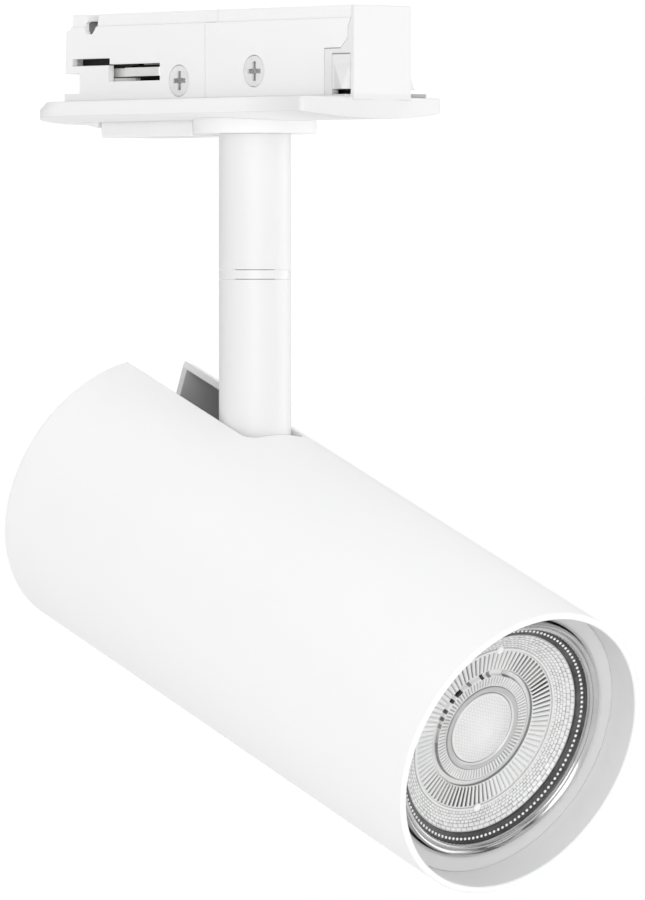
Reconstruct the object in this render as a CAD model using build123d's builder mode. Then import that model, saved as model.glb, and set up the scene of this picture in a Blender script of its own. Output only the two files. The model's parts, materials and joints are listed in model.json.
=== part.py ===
"""Track spotlight: plastic single-circuit track adapter, round swivelling stem and a
tilting cylindrical head that takes a twist-lock reflector lamp.

Frame: millimetres, +Z up. The origin is on the stem axis at the top face of the adapter's
flange, which is the face that seats against the track. +X runs along the adapter towards
its latch end, which is also the heading of the lamp's beam at rest.
"""
from build123d import *
from math import sin, cos, tan, radians, sqrt, degrees, atan2
import os

os.makedirs("parts", exist_ok=True)

# ------------------------------------------------------------------ driving dimensions
TILT = 21.74                 # beam below horizontal at rest
SA, CA = sin(radians(TILT)), cos(radians(TILT))

TUBE_R = 30.0                # head tube outer radius
TUBE_WALL = 1.4
S_FRONT = 86.1               # front rim, along the tube axis from the stem axis
S_REAR = -45.4               # rear wall's outer face
Z_CROSS = -97.27             # height where the tube axis meets the stem axis
SLOT_W = 15.6                # slot for the stem along the top and into the rear wall
S_SLOT = -3.55               # front end of the slot
NOTCH_V = 6.0                # bottom of the notch in the rear wall, above the tube axis
PIVOT_V = 14.0               # tilt pivot above the tube axis
PIVOT_S = -PIVOT_V * tan(radians(TILT))
Z_PIVOT = Z_CROSS + PIVOT_V / CA
BOLT_R = 2.5

STEM_R = 7.3
STEM_BORE = 5.9
Z_STEM_TOP = -7.3
Z_RING_TOP, Z_RING_BOT = -34.9, -36.6
RING_GAP = 0.15              # half of each parting gap
Z_LOWER_END = -73.0
NIPPLE_R, NIPPLE_BORE = 4.0, 2.7

BODY_W = 7.6                 # adapter half width
WALL = 1.4
TOP_Z = 17.7
RIDGE_Z, RIDGE_W = 15.2, 7.15
FL_W = 18.7                  # flange half width
FL_EDGE = 3.2                # flange edge thickness
FL_CROWN = 4.8               # flange thickness on the centre line
FL_LEFT, FL_RIGHT, FL_BULGE = -54.4, 35.7, 38.9
LAND_W, LAND_H = 8.6, 0.4   # half width and height of the raised seat land along the flange

SCREW_A = (-14.9, 3.6)
SCREW_B = (8.5, 5.1)
PRESS = 2.4                  # release button travel
WELL_TOP = 1.5               # web left above the button well
BUTTON_TOP = 4.2             # button's shoulder below the seat face
BUTTON_BOTTOM = 7.7          # and its underside
TONGUE = 4.2                 # lock tongue travel
TONGUE_FLOOR = 0.5           # depth of the tongue's channel below the seat face

LAMP_FACE = 79.7             # lamp front along the tube axis
LAMP_R = 25.0
LAMP_SEAT = 28.1             # lamp cap's rear face
HOLDER_R = 13.6
HOLDER_S0, HOLDER_S1 = 10.8, 27.8
PIN_PITCH = 5.0              # lamp pin distance from the axis
TWIST = 35.0                 # bayonet twist

# ------------------------------------------------------------------ planes and axes
A_DIR = (CA, 0, -SA)         # along the beam
U_DIR = (SA, 0, CA)          # the tube's own "up"
O_HEAD = (0, 0, Z_CROSS)
HEAD = Plane(origin=O_HEAD, x_dir=U_DIR, z_dir=A_DIR)       # local x = v (up), y = -Y, z = s
AXP = Plane(origin=O_HEAD, x_dir=A_DIR, z_dir=(0, -1, 0))   # local x = s, y = v
TOPP = Plane(origin=O_HEAD, x_dir=A_DIR, z_dir=U_DIR)       # local x = s, y = +Y, z = v
TUBE_AXIS = Axis(O_HEAD, A_DIR)


def head_point(s, v, y=0.0):
    return (s * CA + v * SA, y, Z_CROSS - s * SA + v * CA)


# ------------------------------------------------------------------ adapter: flange with end block
JOINT_LINE = [(38.2, TOP_Z), (38.2, 15.4), (37.2, 13.35), (37.2, 11.2), (35.0, 9.15), (30.1, 9.15), (30.1, 0)]

with BuildPart() as flange_base:
    # plan: straight sides, bowed latch end, rounded rear corners
    with BuildSketch(Plane.XY.offset(-6)) as plan:
        with BuildLine():
            ThreePointArc((FL_RIGHT, -FL_W), (FL_BULGE, 0), (FL_RIGHT, FL_W))
            Polyline((FL_RIGHT, FL_W), (FL_LEFT, FL_W), (FL_LEFT, -FL_W), (FL_RIGHT, -FL_W))
        make_face()
        fillet(plan.vertices().group_by(Axis.X)[0], radius=13)
    extrude(amount=4)
    fillet(flange_base.edges().filter_by(Axis.Z).group_by(Axis.X)[-1], radius=1.2)
    # the rear end leans in towards the top
    with BuildSketch(Plane.XY.offset(-2)) as lean_low:
        with BuildLine():
            Polyline((-20, FL_W), (FL_LEFT, FL_W), (FL_LEFT, -FL_W), (-20, -FL_W), close=True)
        make_face()
        fillet(lean_low.vertices().group_by(Axis.X)[0], radius=13)
    with BuildSketch(Plane.XY.offset(-LAND_H)) as lean_high:
        with BuildLine():
            Polyline((-20, FL_W), (FL_LEFT + 2.3, FL_W), (FL_LEFT + 2.3, -FL_W), (-20, -FL_W), close=True)
        make_face()
        fillet(lean_high.vertices().group_by(Axis.X)[0], radius=13)
    loft()
    with BuildSketch(Plane.XY.offset(-2)) as front_plan:
        with BuildLine():
            ThreePointArc((FL_RIGHT, -FL_W), (FL_BULGE, 0), (FL_RIGHT, FL_W))
            Polyline((FL_RIGHT, FL_W), (-20, FL_W), (-20, -FL_W), (FL_RIGHT, -FL_W))
        make_face()
        fillet(front_plan.vertices().group_by(Axis.X)[-1], radius=1.2)
    extrude(amount=2 - LAND_H)
    fillet(flange_base.faces().sort_by(Axis.Z)[-1].edges().filter_by(Axis.X), radius=0.35)
    # raised seat land along the middle
    with BuildSketch(Plane.XY.offset(-1)):
        with BuildLine():
            Polyline((FL_LEFT + 4, LAND_W), (FL_LEFT + 4, -LAND_W), (37.3, -LAND_W), (38.5, 0), (37.3, LAND_W), close=True)
        make_face()
    extrude(amount=1)
    with BuildSketch(Plane.YZ.offset(-60)):
        with BuildLine():
            Polyline((-FL_W - 1, -FL_EDGE), (-FL_W - 1, 0), (FL_W + 1, 0), (FL_W + 1, -FL_EDGE))
            ThreePointArc((FL_W + 1, -FL_EDGE), (0, -FL_CROWN), (-FL_W - 1, -FL_EDGE))
        make_face()
    extrude(amount=105, mode=Mode.INTERSECT)
    # end block that closes the housing and carries the snap fingers
    with BuildSketch(Plane.XZ.offset(BODY_W)):
        Polygon((38.9, -1.0), (38.9, TOP_Z), *JOINT_LINE[:-1], (30.1, -1.0))
    extrude(amount=-2 * BODY_W)
    fillet(flange_base.edges().filter_by(Axis.Y).group_by(Axis.Z)[-1].sort_by(Axis.X)[-1], radius=0.3)
    # hollow behind the end plate
    with BuildSketch(Plane.XZ.offset(BODY_W - 1.7)):
        Polygon((29, 0.001), (37.9, 0.001), (37.9, 12), (36.0, 12), (34.0, 10.2), (29, 10.2))
    extrude(amount=-2 * (BODY_W - 1.7), mode=Mode.SUBTRACT)
    # finger windows, both sides: finger pocket with the slot under it
    with BuildSketch(Plane.XZ.offset(BODY_W + 1)):
        Polygon((32.35, 0.001), (38.0, 0.001), (38.0, 6.5), (37.9, 6.5), (37.9, 8.0), (32.35, 8.0))
    extrude(amount=-2 * (BODY_W + 1), mode=Mode.SUBTRACT)
    # round seats for the finger roots
    with BuildSketch(Plane.YZ.offset(32.35)):
        with Locations((-6.85, 8.0), (6.85, 8.0)):
            Circle(0.75)
    extrude(amount=37.9 - 32.35, mode=Mode.SUBTRACT)
    # shallow channel for the lock tongue
    with BuildSketch(Plane.XY.offset(-TONGUE_FLOOR)):
        Polygon((20.6, -6.1), (30.1, -6.1), (30.1, -5.9), (37.9, -5.9), (37.9, 5.0), (38.2, 5.0), (38.2, FL_W + 1),
                (32.35, FL_W + 1), (32.35, 6.1), (20.6, 6.1))
    extrude(amount=1, mode=Mode.SUBTRACT)
    # well that the release button is pressed into, stopping short of the collar
    with BuildSketch(Plane.XY.offset(-10)):
        with Locations((-24.825, 0)):
            RectangleRounded(30.45, 16.8, 1.4)
        Circle(12.5, mode=Mode.SUBTRACT)
    extrude(amount=10 - WELL_TOP, mode=Mode.SUBTRACT)
    # slot for the button's neck
    with BuildSketch(Plane.XY.offset(-10)):
        with Locations((-25.5, 0)):
            RectangleRounded(14.9, 5.0, 0.8)
    extrude(amount=12, mode=Mode.SUBTRACT)
    # centre bore for the threaded nipple
    with BuildSketch(Plane.XY.offset(-10)):
        Circle(NIPPLE_R + 0.06)
    extrude(amount=12, mode=Mode.SUBTRACT)
    # low ramp ahead of the button
    with BuildSketch(Plane.XZ.offset(8)):
        Polygon((-47.5, -3.9), (-47.5, -4.3), (-40.1, -5.7), (-40.1, -3.9))
    extrude(amount=-16)
flange_base.part.label = "flange_base"

# ------------------------------------------------------------------ adapter: housing
G = 0.12
OUTER = [(-51.6, 0.03), (-51.6, 1.5), (-46.7, 1.5), (-46.7, 5.6), (-51.3, 5.6), (-50.9, 14.3),
         (-49.5, 14.7), (-49.2, TOP_Z), (38.2 - G, TOP_Z), (38.2 - G, 15.4), (37.2 - G, 13.4),
         (37.2 - G, 11.25), (34.95, 9.15 + G), (30.1 - G, 9.15 + G), (30.1 - G, 0.03)]
INNER = [(-45.3, -1), (-45.3, 6.9), (-49.8, 6.9), (-49.5, 13.6), (-48.0, 14.0), (-47.9, 16.3),
         (36.2, 16.3), (36.2, 14.6), (35.6, 13.9), (35.4, 11.9), (34.2, 10.7), (31, 10.7), (31, -1)]
EARTH_NOTCH = [(-45.2, 14.4), (-44.7, 13.7), (-42.6, 13.65), (-41.5, 14.9), (-41.2, 16.3),
               (-40.5, 19.0), (-44.6, 19.0), (-44.5, 16.3), (-45.2, 15.9)]
SLOT1 = [(-49.0, 7.15), (-36.95, 7.15), (-36.95, 8.6), (-49.0, 8.6)]
WIN2 = [(-37.3, 3.8), (-20.9, 3.8), (-20.9, 7.33), (-37.3, 7.33)]


with BuildPart() as housing_body:
    with BuildSketch(Plane.XZ):
        Polygon(*OUTER)
    extrude(amount=-BODY_W)
    with BuildSketch(Plane.XZ.offset(1)):
        Polygon(*INNER)
    extrude(amount=-(BODY_W - WALL + 1), mode=Mode.SUBTRACT)
    with BuildSketch(Plane.XZ.offset(-RIDGE_W)):
        with Locations((0, RIDGE_Z + 5)):
            Rectangle(140, 10)
    extrude(amount=-2, mode=Mode.SUBTRACT)
    with BuildSketch(Plane.XZ):
        with Locations(SCREW_A, SCREW_B):
            Circle(2.6)
    extrude(amount=-(BODY_W - WALL + 0.2))
    with BuildSketch(Plane.XZ.offset(1)):
        with Locations(SCREW_A, SCREW_B):
            Circle(1.35)
    extrude(amount=-7.0, mode=Mode.SUBTRACT)
    for window in (SLOT1, WIN2):
        with BuildSketch(Plane.XZ.offset(-(BODY_W - 3.0))):
            Polygon(*window)
        extrude(amount=-4.0, mode=Mode.SUBTRACT)
    # the earth notch reaches a little way across the roof
    with BuildSketch(Plane.XZ.offset(1)):
        Polygon(*EARTH_NOTCH)
    extrude(amount=-3.8, mode=Mode.SUBTRACT)
housing_body.part.label = "housing_body"


with BuildPart() as near_cover_rear:
    with BuildSketch(Plane.XZ.offset(0.04)):
        Polygon(*OUTER)
    extrude(amount=BODY_W - 0.04)
    with BuildSketch(Plane.XZ.offset(-1)):
        Polygon(*INNER)
    extrude(amount=BODY_W - WALL + 1, mode=Mode.SUBTRACT)
    with BuildSketch(Plane.XZ.offset(RIDGE_W)):
        with Locations((0, RIDGE_Z + 5)):
            Rectangle(140, 10)
    extrude(amount=2, mode=Mode.SUBTRACT)
    # screw boss, clearance hole and head recess
    with BuildSketch(Plane.XZ.offset(0.04)):
        with Locations(SCREW_A):
            Circle(2.6)
    extrude(amount=BODY_W - WALL)
    with BuildSketch(Plane.XZ.offset(-1)):
        with Locations(SCREW_A):
            Circle(1.65)
    extrude(amount=BODY_W + 2, mode=Mode.SUBTRACT)
    with BuildSketch(Plane.XZ.offset(BODY_W - 1.25)):
        with Locations(SCREW_A):
            Circle(3.25)
    extrude(amount=3, mode=Mode.SUBTRACT)
    with BuildSketch(Plane.XZ.offset(-1)):
        Polygon((-6.68, -1), (60, -1), (60, 20), (-3.15, 20), (-3.15, RIDGE_Z + 0.03), (-6.68, RIDGE_Z + 0.03))
    extrude(amount=12, mode=Mode.SUBTRACT)
    for window in (SLOT1, WIN2):
        with BuildSketch(Plane.XZ.offset(BODY_W - 3.0)):
            Polygon(*window)
        extrude(amount=4.0, mode=Mode.SUBTRACT)
    with BuildSketch(Plane.XZ.offset(-1)):
        Polygon(*EARTH_NOTCH)
    extrude(amount=10, mode=Mode.SUBTRACT)
near_cover_rear.part.label = "near_cover_rear"

with BuildPart() as near_cover_front:
    with BuildSketch(Plane.XZ.offset(0.04)):
        Polygon(*OUTER)
    extrude(amount=BODY_W - 0.04)
    with BuildSketch(Plane.XZ.offset(-1)):
        Polygon(*INNER)
    extrude(amount=BODY_W - WALL + 1, mode=Mode.SUBTRACT)
    with BuildSketch(Plane.XZ.offset(RIDGE_W)):
        with Locations((0, RIDGE_Z + 5)):
            Rectangle(140, 10)
    extrude(amount=2, mode=Mode.SUBTRACT)
    # screw boss, clearance hole and head recess
    with BuildSketch(Plane.XZ.offset(0.04)):
        with Locations(SCREW_B):
            Circle(2.6)
    extrude(amount=BODY_W - WALL)
    with BuildSketch(Plane.XZ.offset(-1)):
        with Locations(SCREW_B):
            Circle(1.65)
    extrude(amount=BODY_W + 2, mode=Mode.SUBTRACT)
    with BuildSketch(Plane.XZ.offset(BODY_W - 1.25)):
        with Locations(SCREW_B):
            Circle(3.25)
    extrude(amount=3, mode=Mode.SUBTRACT)
    with BuildSketch(Plane.XZ.offset(-1)):
        Polygon((-60, -1), (-6.58, -1), (-6.58, RIDGE_Z - 0.03), (-3.05, RIDGE_Z - 0.03), (-3.05, 20), (-60, 20))
    extrude(amount=12, mode=Mode.SUBTRACT)
near_cover_front.part.label = "near_cover_front"

with BuildPart() as housing_screws:
    with BuildSketch(Plane.XZ.offset(BODY_W - 1.2)):
        with Locations(SCREW_A, SCREW_B):
            Circle(3.12)
    extrude(amount=1.1)
    with BuildSketch(Plane.XZ.offset(-5.4)):
        with Locations(SCREW_A, SCREW_B):
            Circle(1.3)
    extrude(amount=5.4 + BODY_W - 1.1)
    with BuildSketch(Plane.XZ.offset(BODY_W - 0.95)):
        with Locations(SCREW_A, SCREW_B):
            Rectangle(3.9, 0.95)
            Rectangle(0.95, 3.9)
            Rectangle(1.7, 1.7, rotation=45)
    extrude(amount=2, mode=Mode.SUBTRACT)
housing_screws.part.label = "housing_screws"

# ------------------------------------------------------------------ adapter: contacts
with BuildPart() as contact_carrier:
    with BuildSketch(Plane.XZ.offset(4.6)):
        Polygon((-45.0, 0.6), (-45.0, 7.2), (-49.2, 7.2), (-49.1, 12.9), (-31.5, 12.9), (-31.5, 7.0),
                (-33.6, 7.0), (-33.6, 0.6))
    extrude(amount=-9.2)
    # ledges that show below each blade through the windows
    for sgn in (-1, 1):
        with BuildSketch(Plane.XY.offset(2.9)):
            with Locations((-37.6, sgn * 5.2)):
                Rectangle(14.0, 1.6)
        extrude(amount=1.6)
    # upright web behind the earth contact
    with BuildSketch(Plane.XZ.offset(-1.0)):
        Polygon((-47.4, 12.5), (-38.6, 12.5), (-38.6, 15.9), (-47.4, 15.9))
    extrude(amount=-3.0)
    # pocket for the earth contact's foot and lead passages
    with BuildSketch(Plane.XZ.offset(1.2)):
        with Locations((-42.6, 11.4)):
            Rectangle(2.2, 3.2)
    extrude(amount=-2.4, mode=Mode.SUBTRACT)
contact_carrier.part.label = "contact_carrier"


# spring contacts: a strip along the carrier with its pad bowed out into the window
with BuildPart() as live_contact:
    with BuildSketch(Plane.XY.offset(4.75)):
        Polygon((-44.9, -4.65), (-44.9, -5.15), (-33.6, -5.15), (-32.4, -7.3), (-21.6, -7.3),
                (-21.1, -6.8), (-21.1, -5.4), (-21.6, -5.4), (-21.6, -6.7), (-31.9, -6.7), (-32.9, -4.65))
    extrude(amount=1.8)
live_contact.part.label = "live_contact"
# spring contacts: a strip along the carrier with its pad bowed out into the window
with BuildPart() as neutral_contact:
    with BuildSketch(Plane.XY.offset(4.75)):
        Polygon((-44.9, 4.65), (-44.9, 5.15), (-33.6, 5.15), (-32.4, 7.3), (-21.6, 7.3),
                (-21.1, 6.8), (-21.1, 5.4), (-21.6, 5.4), (-21.6, 6.7), (-31.9, 6.7), (-32.9, 4.65))
    extrude(amount=1.8)
neutral_contact.part.label = "neutral_contact"

with BuildPart() as earth_contact:
    with BuildSketch(Plane.XZ.offset(0.4)):
        Polygon((-43.4, 9.9), (-41.8, 9.9), (-41.8, 13.2), (-40.9, 14.6), (-40.9, 15.9), (-41.4, 15.9),
                   (-41.5, 14.9), (-42.4, 13.6), (-43.4, 13.6))
    extrude(amount=-0.8)
earth_contact.part.label = "earth_contact"

# ------------------------------------------------------------------ adapter: snap fingers
FING_PIVOT = (-6.85, 8.0)     # Y, Z of the near finger's living hinge
FINGER_Z = 1.05               # lower end of the fingers
with BuildPart() as near_snap_finger:
    # hooked wedge: outward and towards the end, to a point at the bottom
    with BuildSketch(Plane.XY.offset(FINGER_Z)):
        Polygon((32.6, -7.4), (37.6, -7.4), (37.6, -9.7))
    extrude(amount=5.6)
    with BuildSketch(Plane.YZ.offset(30)):
        Polygon((-7.4, 6.6), (-9.7, FINGER_Z), (-7.4, FINGER_Z))
    extrude(amount=10, mode=Mode.INTERSECT)
    with BuildSketch(Plane.YZ.offset(32.45)):
        Polygon((-7.6, FINGER_Z), (-6.1, FINGER_Z), (-6.1, 7.6), (-6.3, 7.95), (-7.5, 7.95), (-7.6, 7.9))
        with Locations(FING_PIVOT):
            Circle(0.7)
    extrude(amount=37.85 - 32.45)
near_snap_finger.part.label = "near_snap_finger"
with BuildPart() as far_snap_finger:
    add(near_snap_finger.part.mirror(Plane.XZ))
far_snap_finger.part.label = "far_snap_finger"

# ------------------------------------------------------------------ adapter: release button, bar, tongue
with BuildPart() as release_button:
    with BuildSketch(Plane.XY.offset(-BUTTON_BOTTOM)):
        with Locations((-24.8, 0)):
            RectangleRounded(29.8, 16.2, 1.1)
        Circle(12.85, mode=Mode.SUBTRACT)
    extrude(amount=BUTTON_BOTTOM - BUTTON_TOP)
    fillet(release_button.faces().sort_by(Axis.Z)[0].edges(), radius=0.35)
    # draft on the rear end
    with BuildSketch(Plane.XZ.offset(9)):
        Polygon((-40.5, -4.2), (-39.65, -4.2), (-39.0, -7.0), (-38.8, -7.8), (-40.5, -7.8))
    extrude(amount=-18, mode=Mode.SUBTRACT)
    # finger grips on the underside
    with BuildSketch(Plane.XY.offset(-8)):
        with Locations((-26, 0)):
            with GridLocations(3.0, 1, 5, 1):
                RectangleRounded(1.0, 11.0, 0.45)
    extrude(amount=0.8, mode=Mode.SUBTRACT)
    # neck up through the flange
    with BuildSketch(Plane.XY.offset(-BUTTON_TOP - 0.5)):
        with Locations((-25.5, 0)):
            RectangleRounded(14.0, 4.2, 0.5)
    extrude(amount=BUTTON_TOP + 0.5 + 1.6)
release_button.part.label = "release_button"

with BuildPart() as release_bar:
    # foot on the neck, bridge over the stem nut, leg with the slanted cam slot
    with BuildSketch(Plane.XZ.offset(1.9)):
        Polygon((-28.8, 1.62), (-18.6, 1.62), (-18.6, 2.8), (-20.2, 2.8), (-20.2, 9.2), (23.4, 9.2), (23.4, 7.6),
                   (24.7, 7.6), (24.7, 10.5), (-21.6, 10.5), (-21.6, 2.8), (-28.8, 2.8))
    extrude(amount=-3.8)
    with BuildSketch(Plane.YZ.offset(23.4)):
        Polygon((-5.8, 1.4), (-3.6, 1.4), (1.7, 3.9), (1.9, 9.0), (-1.9, 9.0), (-1.9, 6.4), (-5.8, 4.4))
    extrude(amount=1.3)
    # slanted slot for the tongue's peg
    with BuildSketch(Plane.YZ.offset(22.5)):
        with Locations((-TONGUE / 2, 4.9 - PRESS / 2)):
            SlotCenterToCenter(sqrt(TONGUE ** 2 + PRESS ** 2), 1.9, rotation=degrees(atan2(PRESS, TONGUE)))
    extrude(amount=3, mode=Mode.SUBTRACT)
release_bar.part.label = "release_bar"

with BuildPart() as lock_tongue:
    with BuildSketch(Plane.XY.offset(-TONGUE_FLOOR + 0.05)):
        Polygon((32.75, 3.0), (32.75, 12.6), (33.6, 13.2), (37.2, 13.2), (37.6, 12.8), (37.6, -1.4),
                   (21.0, -1.4), (21.0, 0.9), (30.4, 0.9))
    extrude(amount=0.7)
    with BuildSketch(Plane.YZ.offset(21.0)):
        Polygon((-0.9, -0.2), (0.9, -0.2), (0.9, 5.9), (-0.9, 5.9))
    extrude(amount=1.6)
    with BuildSketch(Plane.YZ.offset(22.0)):
        with Locations((0, 4.9)):
            Circle(0.7)
    extrude(amount=3.4)
lock_tongue.part.label = "lock_tongue"

SPRING_X, SPRING_Z0, SPRING_Z1, SPRING_PITCH, SPRING_R = -10.0, 10.85, 15.95, 1.25, 1.6
with BuildPart() as release_spring:
    # return spring between the bar and the housing roof
    with BuildLine() as coil:
        Helix(pitch=SPRING_PITCH, height=SPRING_Z1 - SPRING_Z0, radius=SPRING_R, center=(SPRING_X, 0, SPRING_Z0))
    with BuildSketch(Plane(origin=coil.line @ 0, z_dir=coil.line % 0)):
        Circle(0.25)
    sweep(path=coil.line, is_frenet=True)
release_spring.part.label = "release_spring"

# ------------------------------------------------------------------ stem
with BuildPart() as stem_collar:
    with BuildSketch(Plane.XY.offset(Z_STEM_TOP)):
        Circle(12.5)
        Circle(NIPPLE_R + 0.06, mode=Mode.SUBTRACT)
    extrude(amount=5.0)
    fillet(stem_collar.edges().filter_by(GeomType.CIRCLE).group_by(Axis.Z)[0].sort_by(SortBy.RADIUS)[-1], radius=0.4)
    with BuildSketch(Plane.YZ.offset(-30)):
        with BuildLine():
            Polyline((-FL_W - 1, -FL_EDGE - 0.01), (-FL_W - 1, 3), (FL_W + 1, 3), (FL_W + 1, -FL_EDGE - 0.01))
            ThreePointArc((FL_W + 1, -FL_EDGE - 0.01), (0, -FL_CROWN - 0.01), (-FL_W - 1, -FL_EDGE - 0.01))
        make_face()
    extrude(amount=60, mode=Mode.SUBTRACT)
stem_collar.part.label = "stem_collar"

with BuildPart() as swivel_nipple:
    # hollow threaded rod that ties the adapter, the collar and the stem together
    with BuildSketch(Plane.XY.offset(6.5)):
        Circle(NIPPLE_R)
        Circle(NIPPLE_BORE, mode=Mode.SUBTRACT)
    extrude(amount=-(6.5 + 47.0))
swivel_nipple.part.label = "swivel_nipple"

with BuildPart() as nut_washer:
    with BuildSketch(Plane.XY.offset(0.05)):
        Circle(5.9)
        Circle(NIPPLE_R + 0.06, mode=Mode.SUBTRACT)
    extrude(amount=0.8)
nut_washer.part.label = "nut_washer"

with BuildPart() as stem_nut:
    with BuildSketch(Plane.XY.offset(0.9)):
        RegularPolygon(radius=5.0, side_count=6, major_radius=False)
        Circle(NIPPLE_R + 0.03, mode=Mode.SUBTRACT)
    extrude(amount=4.0)
stem_nut.part.label = "stem_nut"

with BuildPart() as upper_stem:
    with BuildSketch(Plane.XY.offset(Z_STEM_TOP - 0.02)):
        Circle(STEM_R)
        Circle(STEM_BORE, mode=Mode.SUBTRACT)
    extrude(amount=-(abs(Z_RING_TOP) - RING_GAP - abs(Z_STEM_TOP) - 0.02))
    # closed lower end that the rod passes through
    with BuildSketch(Plane.XY.offset(Z_RING_TOP + RING_GAP)):
        Circle(STEM_BORE + 0.5)
        Circle(NIPPLE_R + 0.06, mode=Mode.SUBTRACT)
    extrude(amount=3.0)
upper_stem.part.label = "upper_stem"

with BuildPart() as swivel_ring:
    # washer ring between the fixed and the turning stem, with the end-stop groove below
    with BuildSketch(Plane.XY.offset(Z_RING_BOT + RING_GAP)):
        Circle(STEM_R)
        Circle(NIPPLE_R + 0.06, mode=Mode.SUBTRACT)
    extrude(amount=abs(Z_RING_BOT) - abs(Z_RING_TOP) - 2 * RING_GAP)
    with BuildSketch(Plane.XZ):
        with Locations((5.6, Z_RING_BOT + RING_GAP + 0.3)):
            Rectangle(1.5, 1.1)
    revolve(axis=Axis.Z, revolution_arc=174, mode=Mode.SUBTRACT)
    with BuildSketch(Plane.XZ):
        with Locations((5.6, Z_RING_BOT + RING_GAP + 0.3)):
            Rectangle(1.5, 1.1)
    revolve(axis=Axis.Z, revolution_arc=-174, mode=Mode.SUBTRACT)
swivel_ring.part.label = "swivel_ring"

with BuildPart() as lower_stem:
    with BuildSketch(Plane.XY.offset(Z_RING_BOT - RING_GAP)):
        Circle(STEM_R)
        Circle(STEM_BORE, mode=Mode.SUBTRACT)
    extrude(amount=-(abs(Z_LOWER_END) - abs(Z_RING_BOT) - RING_GAP))
    # closed upper end that turns on the rod
    with BuildSketch(Plane.XY.offset(Z_RING_BOT - RING_GAP)):
        Circle(STEM_BORE + 0.5)
        Circle(NIPPLE_R + 0.06, mode=Mode.SUBTRACT)
    extrude(amount=-4.0)
    with BuildSketch(Plane.XY.offset(-39.0)):
        with Locations((5.6, 0)):
            Circle(0.45)
    extrude(amount=3.0, mode=Mode.SUBTRACT)
lower_stem.part.label = "lower_stem"

with BuildPart() as stop_pin:
    with BuildSketch(Plane.XY.offset(-39.0)):
        with Locations((5.6, 0)):
            Circle(0.44)
    extrude(amount=3.1)
stop_pin.part.label = "stop_pin"

with BuildPart() as swivel_washer:
    with BuildSketch(Plane.XY.offset(-41.15)):
        Circle(5.5)
        Circle(NIPPLE_R + 0.06, mode=Mode.SUBTRACT)
    extrude(amount=-0.8)
swivel_washer.part.label = "swivel_washer"

with BuildPart() as swivel_nut:
    with BuildSketch(Plane.XY.offset(-42.05)):
        Circle(5.4)
        Circle(NIPPLE_R + 0.03, mode=Mode.SUBTRACT)
    extrude(amount=-4.0)
    # spanner slots across the lower face
    with BuildSketch(Plane.XY.offset(-46.2)):
        Rectangle(14, 1.6)
    extrude(amount=1.3, mode=Mode.SUBTRACT)
swivel_nut.part.label = "swivel_nut"

with BuildPart() as pivot_block:
    with BuildSketch(Plane.XY.offset(-62.0)):
        Circle(STEM_BORE - 0.02)
        Circle(4.5, mode=Mode.SUBTRACT)
    extrude(amount=-(abs(Z_PIVOT) + 8.2 - 62.0))
    # rounded end about the pivot
    with BuildSketch(Plane.XZ.offset(10)):
        with BuildLine():
            _zb = Z_PIVOT
            Polyline((-8.1, _zb), (-8.1, -60), (8.1, -60), (8.1, _zb))
            ThreePointArc((8.1, _zb), (0, _zb - 8.1), (-8.1, _zb))
        make_face()
    extrude(amount=-20, mode=Mode.INTERSECT)
    with BuildSketch(Plane.XZ.offset(10)):
        with Locations((0, Z_PIVOT)):
            Circle(BOLT_R + 0.06)
    extrude(amount=-20, mode=Mode.SUBTRACT)
pivot_block.part.label = "pivot_block"

# ------------------------------------------------------------------ tilt joint
with BuildPart() as pivot_bolt:
    with BuildSketch(Plane.XZ.offset(9.9)):
        with Locations((0, Z_PIVOT)):
            Circle(BOLT_R)
    extrude(amount=-(9.9 + 15.5))
    with BuildSketch(Plane.XZ.offset(9.9)):
        with Locations((0, Z_PIVOT)):
            Circle(4.3)
    extrude(amount=2.6)
    fillet(pivot_bolt.edges().filter_by(GeomType.CIRCLE).group_by(Axis.Y)[0], radius=0.8)
    with BuildSketch(Plane.XZ.offset(11.0)):
        with Locations((0, Z_PIVOT)):
            RegularPolygon(radius=1.5, side_count=6, major_radius=False)
    extrude(amount=3, mode=Mode.SUBTRACT)
pivot_bolt.part.label = "pivot_bolt"

with BuildPart() as pivot_nut:
    with BuildSketch(Plane.XZ.offset(-10.7)):
        with Locations((0, Z_PIVOT)):
            RegularPolygon(radius=4.0, side_count=6, major_radius=False)
            Circle(BOLT_R + 0.03, mode=Mode.SUBTRACT)
    extrude(amount=-4.2)
pivot_nut.part.label = "pivot_nut"

with BuildPart() as friction_washers:
    for y0, t in ((-8.22, 1.95), (6.27, 1.95)):
        with BuildSketch(Plane.XZ.offset(-y0)):
            with Locations((0, Z_PIVOT)):
                Circle(6.5)
                Circle(BOLT_R + 0.04, mode=Mode.SUBTRACT)
        extrude(amount=-t)
    with BuildSketch(Plane.XZ.offset(-9.88)):
        with Locations((0, Z_PIVOT)):
            Circle(4.8)
            Circle(BOLT_R + 0.04, mode=Mode.SUBTRACT)
    extrude(amount=-0.75)
friction_washers.part.label = "friction_washers"

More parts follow.
